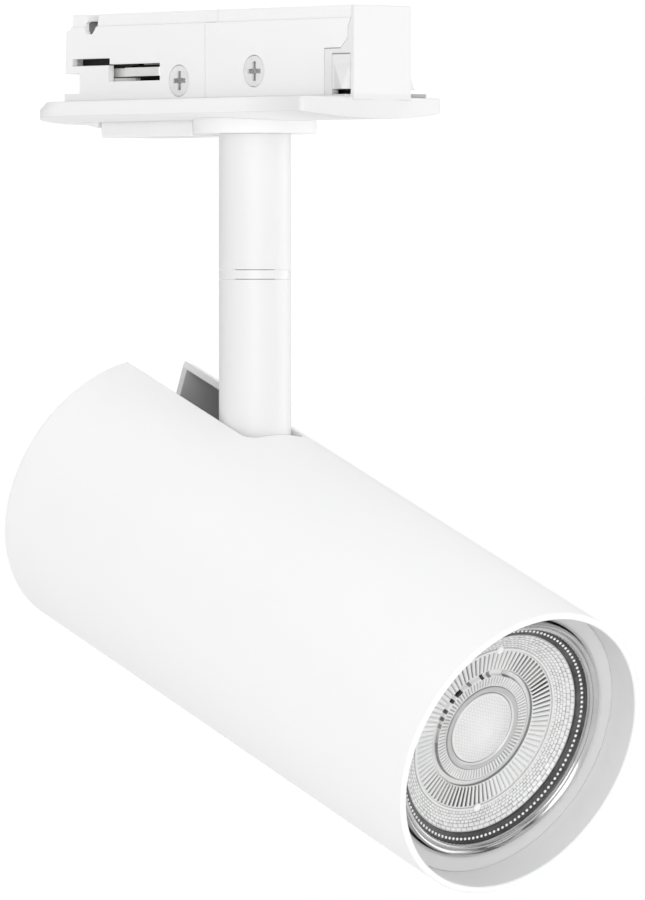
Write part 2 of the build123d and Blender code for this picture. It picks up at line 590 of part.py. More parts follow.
EAR_IN, EAR_T = 8.3, 1.5
with BuildPart() as head_bracket:
    # two ears, drawn in the tube's own side plane
    for sgn in (-1, 1):
        with BuildSketch(AXP.offset(EAR_IN if sgn > 0 else -EAR_IN - EAR_T)):
            Polygon((S_REAR + TUBE_WALL + 0.05, -11), (9.0 + EAR_T, -11), (9.0 + EAR_T, 13), (3.0, 21.5), (-12.5, 21.5),
                       (-20.0, 12.0), (-30.0, 4.0), (S_REAR + TUBE_WALL + 0.05, 4.0))
        extrude(amount=EAR_T)
    # rear plate against the tube's end wall and front plate for the lampholder
    with BuildSketch(HEAD.offset(S_REAR + TUBE_WALL + 0.05)):
        with Locations((-7.5, 0)):
            RectangleRounded(23.0, 2 * (EAR_IN + EAR_T), 1.0)
    extrude(amount=EAR_T)
    with BuildSketch(HEAD.offset(9.0)):
        with Locations((0, 0)):
            Rectangle(26.0, 2 * (EAR_IN + EAR_T))
    extrude(amount=EAR_T)
    # bolt hole, lampholder screw holes, lead holes, rear screw holes
    with BuildSketch(Plane.XZ.offset(12)):
        with Locations((0, Z_PIVOT)):
            Circle(BOLT_R + 0.06)
    extrude(amount=-24, mode=Mode.SUBTRACT)
    with BuildSketch(HEAD.offset(8.0)):
        with Locations((9.0, 0), (-9.0, 0)):
            Circle(1.6)
        with Locations((-4.0, 4.2), (-4.0, -4.2)):
            Circle(1.9)
    extrude(amount=3.5, mode=Mode.SUBTRACT)
    with BuildSketch(HEAD.offset(S_REAR)):
        with Locations((-13.0, 5.0), (-13.0, -5.0)):
            Circle(1.35)
    extrude(amount=4, mode=Mode.SUBTRACT)
head_bracket.part.label = "head_bracket"

with BuildPart() as bracket_screws:
    with BuildSketch(HEAD.offset(S_REAR - 1.3)):
        with Locations((-13.0, 5.0), (-13.0, -5.0)):
            Circle(2.7)
    extrude(amount=1.28)
    fillet(bracket_screws.faces().sort_by(TUBE_AXIS)[0:2].edges(), radius=0.6)
    with BuildSketch(HEAD.offset(S_REAR - 0.1)):
        with Locations((-13.0, 5.0), (-13.0, -5.0)):
            Circle(1.3)
    extrude(amount=6.5)
    with BuildSketch(HEAD.offset(S_REAR - 2.0)):
        with Locations((-13.0, 5.0), (-13.0, -5.0)):
            Rectangle(3.0, 0.7)
            Rectangle(0.7, 3.0)
    extrude(amount=1.5, mode=Mode.SUBTRACT)
bracket_screws.part.label = "bracket_screws"

# ------------------------------------------------------------------ head tube
with BuildPart() as head_tube:
    with BuildSketch(AXP):
        RI = TUBE_R - TUBE_WALL
        Polygon((S_REAR, 0), (S_REAR, TUBE_R - 0.5), (S_REAR + 0.15, TUBE_R - 0.15), (S_REAR + 0.5, TUBE_R),
                   (S_FRONT - 0.35, TUBE_R), (S_FRONT, TUBE_R - 0.3), (S_FRONT, RI + 0.25), (S_FRONT - 0.3, RI),
                   (S_REAR + TUBE_WALL, RI), (S_REAR + TUBE_WALL, 0))
    revolve(axis=TUBE_AXIS)
    # stem slot along the top
    with BuildSketch(TOPP.offset(20)):
        with BuildLine():
            _w, _r = SLOT_W / 2, 3.0
            Polyline((S_REAR - 2, _w), (S_REAR - 2, -_w), (S_SLOT - _r, -_w))
            ThreePointArc((S_SLOT - _r, -_w), (S_SLOT - _r * (1 - cos(radians(45))), -_w + _r * (1 - sin(radians(45)))),
                          (S_SLOT, -_w + _r))
            Line((S_SLOT, -_w + _r), (S_SLOT, _w - _r))
            ThreePointArc((S_SLOT, _w - _r), (S_SLOT - _r * (1 - cos(radians(45))), _w - _r * (1 - sin(radians(45)))),
                          (S_SLOT - _r, _w))
            Line((S_SLOT - _r, _w), (S_REAR - 2, _w))
        make_face()
    extrude(amount=12, mode=Mode.SUBTRACT)
    # notch down the rear wall
    with BuildSketch(HEAD.offset(S_REAR - 2)):
        with Locations(((NOTCH_V + 46) / 2, 0)):
            RectangleRounded(46 - NOTCH_V, SLOT_W, 3.0)
    extrude(amount=2 + TUBE_WALL + 0.3, mode=Mode.SUBTRACT)
    # rear screw holes
    with BuildSketch(HEAD.offset(S_REAR - 1)):
        with Locations((-13.0, 5.0), (-13.0, -5.0)):
            Circle(1.6)
    extrude(amount=4, mode=Mode.SUBTRACT)
head_tube.part.label = "head_tube"

# pale ring pressed into the tube that closes the gap round the lamp's face
with BuildPart() as baffle_ring:
    with BuildSketch(AXP):
        Polygon((76.0, 25.4), (77.9, 25.4), (78.3, 25.9), (79.0, 28.3), (79.0, 28.55), (76.0, 28.55))
    revolve(axis=TUBE_AXIS)
baffle_ring.part.label = "baffle_ring"

# ------------------------------------------------------------------ lampholder
with BuildPart() as lampholder:
    with BuildSketch(HEAD.offset(HOLDER_S0)):
        Circle(HOLDER_R)
    extrude(amount=HOLDER_S1 - HOLDER_S0)
    # two flats along the sides
    for sgn in (-1, 1):
        with BuildSketch(HEAD.offset(HOLDER_S0 - 1)):
            with Locations((0, sgn * (11.2 + 3))):
                Rectangle(40, 6)
        extrude(amount=HOLDER_S1 - HOLDER_S0 - 3.0, mode=Mode.SUBTRACT)
    # curved keyholes: neck slot in the front wall, head channel behind it
    for sgn in (1, -1):
        with BuildSketch(TOPP):
            with Locations((26.5, sgn * PIN_PITCH)):
                Rectangle(4.2, 3.5)
        revolve(axis=TUBE_AXIS, revolution_arc=TWIST, mode=Mode.SUBTRACT)
        with BuildSketch(TOPP):
            with Locations((22.4, sgn * PIN_PITCH)):
                Rectangle(5.0, 5.7)
        revolve(axis=TUBE_AXIS, revolution_arc=TWIST, mode=Mode.SUBTRACT)
        with BuildSketch(HEAD.offset(19.9)):
            with Locations((0, -sgn * PIN_PITCH)):
                Circle(2.85)
        extrude(amount=5.0, mode=Mode.SUBTRACT)
        with BuildSketch(HEAD.offset(24.0)):
            with Locations((0, -sgn * PIN_PITCH)):
                Circle(1.75)
        extrude(amount=6.0, mode=Mode.SUBTRACT)
        with BuildSketch(HEAD.offset(19.9)):
            with Locations((sgn * PIN_PITCH * sin(radians(TWIST)), -sgn * PIN_PITCH * cos(radians(TWIST)))):
                Circle(2.85)
        extrude(amount=10.0, mode=Mode.SUBTRACT)
    # lead entries and fixing holes from the back
    with BuildSketch(HEAD.offset(HOLDER_S0 - 1)):
        with Locations((-4.0, 4.2), (-4.0, -4.2)):
            Circle(1.2)
    extrude(amount=10.5, mode=Mode.SUBTRACT)
    with BuildSketch(HEAD.offset(HOLDER_S0 - 1)):
        with Locations((9.0, 0), (-9.0, 0)):
            Circle(1.3)
    extrude(amount=8.0, mode=Mode.SUBTRACT)
lampholder.part.label = "lampholder"

with BuildPart() as holder_screws:
    with BuildSketch(HEAD.offset(6.9)):
        with Locations((9.0, 0), (-9.0, 0)):
            Circle(2.6)
    extrude(amount=2.05)
    with BuildSketch(HEAD.offset(8.9)):
        with Locations((9.0, 0), (-9.0, 0)):
            Circle(1.25)
    extrude(amount=8.0)
    with BuildSketch(HEAD.offset(6.5)):
        with Locations((9.0, 0), (-9.0, 0)):
            Rectangle(2.8, 0.7)
            Rectangle(0.7, 2.8)
    extrude(amount=1.3, mode=Mode.SUBTRACT)
holder_screws.part.label = "holder_screws"

with BuildPart() as holder_contacts:
    # flat contact pads at the back of each head channel
    for sgn in (1, -1):
        with BuildSketch(HEAD.offset(20.0)):
            with Locations((0, -sgn * PIN_PITCH)):
                Circle(2.3)
        extrude(amount=0.7)
holder_contacts.part.label = "holder_contacts"

# ------------------------------------------------------------------ lamp
with BuildPart() as lamp_cap:
    with BuildSketch(AXP):
        Polygon((LAMP_SEAT, 0), (LAMP_SEAT, 11.6), (LAMP_SEAT + 0.6, 12.2), (37.0, 12.6), (37.0, 11.2),
                   (31.0, 10.8), (31.0, 0))
    revolve(axis=TUBE_AXIS)
    with BuildSketch(HEAD.offset(LAMP_SEAT - 1)):
        with Locations((0, PIN_PITCH), (0, -PIN_PITCH)):
            Circle(1.45)
    extrude(amount=5, mode=Mode.SUBTRACT)
lamp_cap.part.label = "lamp_cap"

with BuildPart() as lamp_pins:
    for sgn in (1, -1):
        with BuildSketch(HEAD.offset(21.6)):
            with Locations((0, sgn * PIN_PITCH)):
                Circle(2.5)
        extrude(amount=2.6)
        with BuildSketch(HEAD.offset(24.0)):
            with Locations((0, sgn * PIN_PITCH)):
                Circle(1.4)
        extrude(amount=8.5)
lamp_pins.part.label = "lamp_pins"

with BuildPart() as lamp_shell:
    with BuildSketch(AXP):
        Polygon((37.05, 11.3), (37.05, 13.3), (44.0, 14.3), (50.0, 16.2), (58.0, 19.6), (66.0, 22.6), (72.0, 24.3),
                   (75.0, 24.9), (76.4, LAMP_R), (76.4, 23.2), (74.0, 22.6), (66.0, 20.7), (58.0, 17.8),
                   (50.0, 14.6), (44.0, 12.6))
    revolve(axis=TUBE_AXIS)
lamp_shell.part.label = "lamp_shell"

with BuildPart() as lamp_bezel:
    with BuildSketch(AXP):
        Polygon((76.45, 23.0), (76.45, LAMP_R), (78.9, LAMP_R), (79.5, 24.7), (LAMP_FACE, 24.2), (79.5, 23.6),
                   (79.0, 23.2), (78.9, 23.0))
    revolve(axis=TUBE_AXIS)
lamp_bezel.part.label = "lamp_bezel"

with BuildPart() as lamp_lens:
    # moulded lens, dished behind its flat rim: ribbed field, raised ring and a shallow central dome with its light pipe
    with BuildSketch(AXP):
        Polygon((76.5, 22.9), (78.2, 22.9), (77.4, 21.8), (76.6, 21.2), (74.5, 17.4), (74.7, 17.1), (74.4, 16.8),
                   (74.0, 12.6), (73.2, 12.2), (73.2, 11.4), (74.0, 11.1), (74.1, 8.6), (73.8, 8.2), (74.3, 5.0),
                   (74.6, 2.5), (74.7, 0), (64.0, 0), (64.0, 3.2), (68.0, 6.4), (71.2, 10.5), (72.0, 16.5), (74.8, 21.3))
    revolve(axis=TUBE_AXIS)
lamp_lens.part.label = "lamp_lens"

with BuildPart() as led_board:
    with BuildSketch(HEAD.offset(59.0)):
        Circle(17.0)
        with Locations((0, 12.0), (0, -12.0)):
            Circle(1.4, mode=Mode.SUBTRACT)
    extrude(amount=1.6)
led_board.part.label = "led_board"

with BuildPart() as led_emitter:
    with BuildSketch(HEAD.offset(60.65)):
        RectangleRounded(7.0, 7.0, 0.6)
    extrude(amount=0.9)
    with BuildSketch(HEAD.offset(61.5)):
        Circle(2.6)
    extrude(amount=0.7)
led_emitter.part.label = "led_emitter"

with BuildPart() as driver_board:
    with BuildSketch(HEAD.offset(33.0)):
        Rectangle(1.2, 19.0)
    extrude(amount=22.0)
    # choke, capacitor and bridge on one side
    with BuildSketch(HEAD.offset(36.0)):
        with Locations((3.8, 3.6)):
            Circle(3.25)
    extrude(amount=9.0)
    with BuildSketch(HEAD.offset(38.0)):
        with Locations((2.4, -4.6)):
            Rectangle(3.8, 5.4)
    extrude(amount=7.0)
    with BuildSketch(HEAD.offset(47.5)):
        with Locations((1.5, 1.0)):
            Rectangle(2.0, 9.0)
    extrude(amount=5.0)
driver_board.part.label = "driver_board"

# ------------------------------------------------------------------ leads
LEAD_R = 0.8


# Each lead is a round wire along straight runs joined by tangent arcs: (points, corner radii).
ADAPTER_ROUTES = [
    ([(-30.3, y * 3.55, 7.9), (-6.0, y * 3.55, 7.9), (-0.7, y * 1.2, 7.9), (-0.7, y * 1.2, -60.0)], [4.0, 2.2])
    for y in (-1, 1)] + [
    ([(-30.3, 2.9, 11.9), (5.2, 2.9, 11.9), (5.2, 2.9, 8.3), (1.4, 0.1, 8.3), (1.4, 0.1, -60.0)], [1.6, 1.6, 2.0])]
STEM_ROUTES = [
    ([(-0.7, y * 1.2, -61.0), (-0.7, y * 1.2, -66.0), (-3.45, y * 0.95, -73.5), (-3.45, y * 0.95, -90.2)], [5.0, 5.0])
    for y in (-1, 1)] + [
    ([(1.4, 0, -61.0), (1.4, 0, -66.0), (3.45, 0, -73.5), (3.45, 0, -90.2)], [5.0, 5.0])]
LAMP_ROUTES = [
    ([head_point(-4.9, 2.8, y * 1.2), head_point(-3.6, -1.5, y * 1.6), head_point(0.5, -4.0, y * 4.2),
      head_point(19.0, -4.0, y * 4.2)], [3.0, 3.0])
    for y in (-1, 1)] + [
    ([head_point(3.4, 3.4, 0), head_point(4.4, 0.6, 0), head_point(8.6, 0.6, 0)], [1.6])]

with BuildPart() as adapter_leads:
    for points, radii in ADAPTER_ROUTES:
        with BuildLine() as route:
            FilletPolyline(*points, radius=radii)
        with BuildSketch(Plane(origin=route.line @ 0, z_dir=route.line % 0)):
            Circle(LEAD_R)
        sweep(path=route.line)
adapter_leads.part.label = "adapter_leads"

with BuildPart() as stem_leads:
    for points, radii in STEM_ROUTES:
        with BuildLine() as route:
            FilletPolyline(*points, radius=radii)
        with BuildSketch(Plane(origin=route.line @ 0, z_dir=route.line % 0)):
            Circle(LEAD_R)
        sweep(path=route.line)
stem_leads.part.label = "stem_leads"

with BuildPart() as lamp_leads:
    for points, radii in LAMP_ROUTES:
        with BuildLine() as route:
            FilletPolyline(*points, radius=radii)
        with BuildSketch(Plane(origin=route.line @ 0, z_dir=route.line % 0)):
            Circle(LEAD_R)
        sweep(path=route.line)
lamp_leads.part.label = "lamp_leads"

with BuildPart() as lead_sleeves:
    with BuildSketch(HEAD.offset(2.6)):
        with Locations((-4.0, 4.2), (-4.0, -4.2)):
            Circle(1.15)
            Circle(LEAD_R + 0.02, mode=Mode.SUBTRACT)
    extrude(amount=8.1)
lead_sleeves.part.label = "lead_sleeves"

# ------------------------------------------------------------------ output
PIECES = [flange_base, housing_body, near_cover_rear, near_cover_front, housing_screws, contact_carrier,
          live_contact, neutral_contact, earth_contact, near_snap_finger, far_snap_finger, release_button,
          release_bar, release_spring, lock_tongue, stem_collar, swivel_nipple, nut_washer, stem_nut, upper_stem,
          swivel_ring, lower_stem, stop_pin, swivel_washer, swivel_nut, pivot_block, pivot_bolt, pivot_nut,
          friction_washers, head_bracket, bracket_screws, head_tube, baffle_ring, lampholder, holder_screws, holder_contacts,
          lamp_cap, lamp_pins, lamp_shell, lamp_bezel, lamp_lens, led_board, led_emitter, driver_board,
          adapter_leads, stem_leads, lamp_leads, lead_sleeves]
for piece in PIECES:
    export_step(piece.part, "parts/" + piece.part.label + ".step")
    print(piece.part.label, round(piece.part.volume, 2))
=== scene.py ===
import json
import math

import bpy
import numpy as np
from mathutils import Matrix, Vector

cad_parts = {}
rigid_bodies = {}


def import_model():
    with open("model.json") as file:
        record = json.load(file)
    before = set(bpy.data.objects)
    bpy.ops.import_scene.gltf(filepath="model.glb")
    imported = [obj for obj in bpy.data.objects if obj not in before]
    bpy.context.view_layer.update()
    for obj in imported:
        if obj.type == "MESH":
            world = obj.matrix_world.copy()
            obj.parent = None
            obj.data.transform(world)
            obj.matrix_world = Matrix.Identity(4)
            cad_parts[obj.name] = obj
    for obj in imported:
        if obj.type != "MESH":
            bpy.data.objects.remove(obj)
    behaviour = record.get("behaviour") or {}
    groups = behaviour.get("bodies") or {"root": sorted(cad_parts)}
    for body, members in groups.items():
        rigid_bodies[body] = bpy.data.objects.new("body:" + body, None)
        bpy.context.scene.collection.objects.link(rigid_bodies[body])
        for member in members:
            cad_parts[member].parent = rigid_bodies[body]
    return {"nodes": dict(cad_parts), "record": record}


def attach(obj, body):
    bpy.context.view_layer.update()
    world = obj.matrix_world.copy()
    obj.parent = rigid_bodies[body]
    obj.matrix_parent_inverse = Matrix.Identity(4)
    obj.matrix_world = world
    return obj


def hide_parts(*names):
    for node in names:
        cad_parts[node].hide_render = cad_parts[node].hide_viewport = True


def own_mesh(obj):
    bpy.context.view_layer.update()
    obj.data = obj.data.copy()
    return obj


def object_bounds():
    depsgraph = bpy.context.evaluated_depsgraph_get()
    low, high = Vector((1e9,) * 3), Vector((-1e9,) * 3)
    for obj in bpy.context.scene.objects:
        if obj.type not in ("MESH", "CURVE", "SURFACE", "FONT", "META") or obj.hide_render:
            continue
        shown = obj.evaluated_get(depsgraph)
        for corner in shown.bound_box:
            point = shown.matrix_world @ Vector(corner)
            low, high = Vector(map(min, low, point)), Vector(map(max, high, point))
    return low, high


for _o in list(bpy.data.objects):
    bpy.data.objects.remove(_o)

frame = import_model()
bpy.context.view_layer.update()
CAD_LO, CAD_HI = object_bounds()
NODES = frame["nodes"]

MM = 0.001
PI = math.pi

# ------------------------------------------------------------------ the head's own directions
TILT = math.radians(21.74)
CA, SA = math.cos(TILT), math.sin(TILT)
Z_CROSS = -97.27
A_DIR = np.array((CA, 0.0, -SA))
U_DIR = np.array((SA, 0.0, CA))
Y_DIR = np.array((0.0, 1.0, 0.0))
HEAD_O = np.array((0.0, 0.0, Z_CROSS))


def head_points(s, v, y):
    """Points from the beam distance s, height v and side y, all in millimetres, in metres."""
    s, v, y = (np.asarray(a, float)[..., None] for a in (s, v, y))
    return (HEAD_O + s * A_DIR + v * U_DIR + y * Y_DIR) * MM


# ------------------------------------------------------------------ material kit
class Mat:
    """A small node graph around one Principled shader, with textures in object space."""

    def __init__(self, name, **sockets):
        self.m = bpy.data.materials.new(name)
        self.m.use_nodes = True
        self.nt = self.m.node_tree
        self.nt.nodes.clear()
        self.out = self.nt.nodes.new("ShaderNodeOutputMaterial")
        self.bsdf = self.nt.nodes.new("ShaderNodeBsdfPrincipled")
        self.link(self.bsdf.outputs[0], self.out.inputs["Surface"])
        self.coord = self.nt.nodes.new("ShaderNodeTexCoord").outputs["Object"]
        for key, value in sockets.items():
            self.bsdf.inputs[key.replace("_", " ")].default_value = value
        self.normal = None

    def node(self, kind, **attrs):
        n = self.nt.nodes.new(kind)
        for key, value in attrs.items():
            setattr(n, key, value)
        return n

    def link(self, a, b):
        self.nt.links.new(a, b)

    def mapped(self, scale=(1, 1, 1), rotation=(0, 0, 0), location=(0, 0, 0)):
        n = self.node("ShaderNodeMapping")
        n.inputs["Scale"].default_value = scale
        n.inputs["Rotation"].default_value = rotation
        n.inputs["Location"].default_value = location
        self.link(self.coord, n.inputs["Vector"])
        return n.outputs[0]

    def noise(self, scale, detail=3.0, rough=0.55, distortion=0.0, vector=None):
        n = self.node("ShaderNodeTexNoise")
        n.inputs["Scale"].default_value = scale
        n.inputs["Detail"].default_value = detail
        n.inputs["Roughness"].default_value = rough
        n.inputs["Distortion"].default_value = distortion
        self.link(vector or self.coord, n.inputs["Vector"])
        return n.outputs["Fac"]

    def cells(self, scale, feature="F1", rand=1.0, vector=None):
        n = self.node("ShaderNodeTexVoronoi", feature=feature)
        n.inputs["Scale"].default_value = scale
        n.inputs["Randomness"].default_value = rand
        self.link(vector or self.coord, n.inputs["Vector"])
        return n.outputs["Distance"]

    def painted_light_tone(self):
        """The lens's painted light tone kept on its vertices: 0 is painted shade in the grooves and 1 a painted
        highlight on the crests.
        """
        return self.node("ShaderNodeAttribute", attribute_name="painted_light_tone").outputs["Fac"]

    def waves(self, scale, distortion=0.0, vector=None, direction="X", profile="SIN"):
        n = self.node("ShaderNodeTexWave", bands_direction=direction, wave_profile=profile)
        n.inputs["Scale"].default_value = scale
        n.inputs["Distortion"].default_value = distortion
        n.inputs["Detail"].default_value = 1.0
        self.link(vector or self.coord, n.inputs["Vector"])
        return n.outputs["Fac"]

    def ramp(self, fac, *stops):
        n = self.node("ShaderNodeValToRGB")
        e = n.color_ramp.elements
        while len(e) < len(stops):
            e.new(0.5)
        for item, (pos, col) in zip(e, stops):
            item.position = pos
            item.color = (*col, 1.0) if len(col) == 3 else col
        self.link(fac, n.inputs["Fac"])
        return n.outputs["Color"]

    def span(self, fac, lo, hi, a=0.3, b=0.7):
        n = self.node("ShaderNodeMapRange")
        n.inputs["From Min"].default_value = a
        n.inputs["From Max"].default_value = b
        n.inputs["To Min"].default_value = lo
        n.inputs["To Max"].default_value = hi
        self.link(fac, n.inputs["Value"])
        return n.outputs[0]

    def mix(self, fac, a, b, mode="MIX"):
        n = self.node("ShaderNodeMix", data_type="RGBA", blend_type=mode)
        if isinstance(fac, (int, float)):
            n.inputs[0].default_value = fac
        else:
            self.link(fac, n.inputs[0])
        self.link(a, n.inputs[6])
        self.link(b, n.inputs[7])
        return n.outputs[2]

    def bump(self, height, distance, strength=1.0):
        n = self.node("ShaderNodeBump")
        n.inputs["Strength"].default_value = strength
        n.inputs["Distance"].default_value = distance
        self.link(height, n.inputs["Height"])
        if self.normal is not None:
            self.link(self.normal, n.inputs["Normal"])
        self.normal = n.outputs[0]
        return self

    def soft_edges(self, radius):
        n = self.node("ShaderNodeBevel", samples=4)
        n.inputs["Radius"].default_value = radius
        self.normal = n.outputs[0]
        return self

    def done(self):
        if self.normal is not None:
            self.link(self.normal, self.bsdf.inputs["Normal"])
        return self.m

    def to(self, socket, source):
        self.link(source, self.bsdf.inputs[socket])
        return self


def grey(v, warm=0.0):
    return (v + warm, v, v - warm)


def moulded(name, base, rough=(0.40, 0.52), grain=3200, edge=0.00018, warm=0.0, depth=0.000006, **sockets):
    """Moulded plastic: a fine sparked texture, faint flow mottling and slightly uneven gloss."""
    m = Mat(name, **sockets)
    flow = m.noise(38, 2.0, 0.5, 0.6)
    m.to("Base Color", m.ramp(flow, (0.25, grey(base - 0.012, warm)), (0.5, grey(base, warm)), (0.78, grey(base + 0.010, warm))))
    m.to("Roughness", m.span(m.noise(260, 4.0, 0.6), *rough))
    if edge:
        m.soft_edges(edge)
    m.bump(m.noise(grain, 3.0, 0.6), depth, 0.7)
    m.bump(m.noise(150, 1.0, 0.4), 0.00001, 0.35)
    return m.done()


def powder_coat(name, base, edge=0.00022, painted_bore_shade=None):
    """Powder coat on aluminium: a low orange peel under a fine grain, satin."""
    m = Mat(name, Coat_Weight=0.12, Coat_Roughness=0.34)
    tone = m.noise(22, 2.0, 0.5, 0.3)
    speck = m.ramp(m.cells(5200, rand=1.0), (0.0, grey(base - 0.02)), (0.16, grey(base)), (1.0, grey(base)))
    wide = m.ramp(tone, (0.25, grey(0.985)), (0.75, grey(1.0)))
    if painted_bore_shade:
        # painted shade: the coat's colour is set greyer inside the tube, standing in for the shade in the bore
        to_local = NODES["head_tube"].matrix_world.inverted()
        away = m.node("ShaderNodeVectorMath", operation="SUBTRACT")
        away.inputs[1].default_value = to_local @ Vector(HEAD_O * MM)
        m.link(m.coord, away.inputs[0])
        across = m.node("ShaderNodeVectorMath", operation="CROSS_PRODUCT")
        across.inputs[1].default_value = to_local.to_3x3() @ Vector(A_DIR)
        m.link(away.outputs[0], across.inputs[0])
        radius = m.node("ShaderNodeVectorMath", operation="LENGTH")
        m.link(across.outputs[0], radius.inputs[0])
        wide = m.mix(m.span(radius.outputs["Value"], 0.0, 1.0, 0.02862, 0.02880), m.ramp(tone, (0.25, grey(painted_bore_shade - 0.01)), (0.75, grey(painted_bore_shade))), wide)
    m.to("Base Color", m.mix(1.0, speck, wide, "MULTIPLY"))
    m.to("Roughness", m.span(m.noise(420, 3.0, 0.6), 0.42, 0.52))
    if edge:
        m.soft_edges(edge)
    m.bump(m.noise(760, 2.0, 0.45), 0.00002, 0.35)
    m.bump(m.noise(3800, 2.0, 0.5), 0.000004, 0.5)
    return m.done()


def plated(name, base, tint=(0, 0, 0), rough=(0.2, 0.34), grain=(900, 60, 60), rotation=(0, 0, 0), edge=0.00012, depth=0.000008, metal=1.0):
    """Plated metal with drawn grain lines, faint blotches in the plate and tiny pits."""
    m = Mat(name, Metallic=metal)
    lines = m.noise(1.0, 4.0, 0.65, vector=m.mapped(grain, rotation))
    blotch = m.noise(160, 3.0, 0.6, 0.5)
    lo, hi = (tuple(base - d + t for t in tint) for d in (0.07, -0.04))
    m.to("Base Color", m.mix(0.35, m.ramp(blotch, (0.3, lo), (0.7, hi)), m.ramp(lines, (0.3, lo), (0.7, hi))))
    m.to("Roughness", m.span(lines, *rough))
    if edge:
        m.soft_edges(edge)
    m.bump(lines, depth, 0.6)
    m.bump(m.cells(2600), depth * 0.6, 0.25)
    return m.done()


def black_moulded(name, base=0.012, rough=(0.42, 0.6)):
    """Glass-filled black polyamide: fibres just under the skin and a matte grain."""
    m = Mat(name, Specular_IOR_Level=0.35)
    fibre = m.noise(1.0, 3.0, 0.7, 0.4, m.mapped((2400, 500, 900), (0.3, 0.5, 0.2)))
    m.to("Base Color", m.ramp(fibre, (0.35, grey(base)), (0.72, grey(base * 2.2))))
    m.to("Roughness", m.span(fibre, *rough))
    m.soft_edges(0.00015)
    m.bump(m.noise(2600, 3.0, 0.6), 0.000008, 0.8)
    return m.done()


M = {}
M["moulded_white"] = moulded("white_polycarbonate", 0.845)
# a lit copy of the white plastic for the covers, painted lighter as the light on their side faces
M["moulded_side"] = moulded("white_polycarbonate_cover_painted_light", 0.95, rough=(0.36, 0.46))
# the tube's coat, with painted shade inside the bore
M["white_paint"] = powder_coat("satin_white_powder_coat_bore_shade", 0.955, painted_bore_shade=0.84)
M["moulded_bright"] = moulded("white_polycarbonate_button", 0.92)


def flange_plastic_painted_light():
    """The flange's plastic: one fine-sparked white in lit and shaded copies, the plate painted brighter than the end
    block above it.
    """
    m = Mat("white_polycarbonate_flange_painted_light")
    flow = m.noise(38, 2.0, 0.5, 0.6)
    plate = m.ramp(flow, (0.25, grey(0.915)), (0.78, grey(0.93)))
    block = m.ramp(flow, (0.25, grey(0.835)), (0.78, grey(0.85)))
    front = m.ramp(flow, (0.25, grey(0.785)), (0.78, grey(0.80)))
    split = m.node("ShaderNodeSeparateXYZ")
    m.link(m.coord, split.inputs[0])
    # painted shade: the plate's end past x 18 to 34 mm is painted darker
    plate = m.mix(m.span(split.outputs[0], 0.0, 1.0, 0.018, 0.034), plate, front)
    # painted light and shade: above the plate the end block takes the darker copy
    m.to("Base Color", m.mix(m.span(split.outputs[2], 0.0, 1.0, -0.0002, 0.0004), plate, block))
    m.to("Roughness", m.span(m.noise(260, 4.0, 0.6), 0.40, 0.52))
    m.soft_edges(0.00018)
    m.bump(m.noise(3200, 3.0, 0.6), 0.000006, 0.7)
    m.bump(m.noise(150, 1.0, 0.4), 0.00001, 0.35)
    return m.done()


M["flange_white"] = flange_plastic_painted_light()
# the stem's coat: a shaded copy of the white coat, painted darker as the shade under the flange
M["stem_paint"] = powder_coat("stem_coat_painted_shade", 0.825)
M["ring_white"] = moulded("white_acetal", 0.84, rough=(0.28, 0.36), edge=0.00012, depth=0.000003)
M["stem_ring"] = moulded("white_acetal_ring", 0.82, rough=(0.28, 0.36), edge=0.00012, depth=0.000003)
M["zinc_steel"] = plated("zinc_plated_steel", 0.55, (0.0, 0.004, 0.014), (0.26, 0.42), (700, 80, 80), (0.0, 0.35, 0.2))
M["screw_steel"] = plated("bright_screw_plate", 0.72, (0.0, 0.0, 0.004), (0.16, 0.3), (500, 500, 500))
M["spring_steel"] = plated("spring_wire", 0.42, (0.0, 0.002, 0.006), (0.22, 0.36), (300, 300, 1500), edge=0)
M["contact_metal"] = plated("nickel_plate", 0.94, (0.006, 0.002, -0.008), (0.34, 0.46), (200, 900, 1200), metal=0.45)
M["dark_plastic"] = black_moulded("black_polyamide")
M["pivot_alloy"] = plated("turned_aluminium", 0.74, (0.0, 0.0, 0.004), (0.2, 0.34), (60, 60, 2400))
M["nylon"] = moulded("natural_polyamide", 0.74, (0.4, 0.5), 1800, 0.00015, 0.012, Subsurface_Weight=0.12, Subsurface_Scale=0.0008)


def carrier():
    """Black polyamide between the contacts, with the moulded ledges that stick out below the blades: white plastic
    coloured mid grey as painted shade.
    """
    m = Mat("contact_carrier_polyamide", Specular_IOR_Level=0.35)
    fibre = m.noise(1.0, 3.0, 0.7, 0.4, m.mapped((2400, 500, 900), (0.3, 0.5, 0.2)))
    black = m.ramp(fibre, (0.35, grey(0.012)), (0.72, grey(0.026)))
    pale = m.ramp(fibre, (0.35, grey(0.62)), (0.72, grey(0.70)))
    split = m.node("ShaderNodeSeparateXYZ")
    m.link(m.coord, split.inputs[0])
    side = m.node("ShaderNodeMath", operation="ABSOLUTE")
    m.link(split.outputs[1], side.inputs[0])
    # painted shade: the white ledges beyond |y| 4.6 mm are coloured mid grey
    m.to("Base Color", m.mix(m.span(side.outputs[0], 0.0, 1.0, 0.00462, 0.00466), black, pale))
    m.to("Roughness", m.span(fibre, 0.42, 0.6))
    m.soft_edges(0.00015)
    m.bump(m.noise(2600, 3.0, 0.6), 0.000008, 0.8)
    return m.done()


M["carrier"] = carrier()


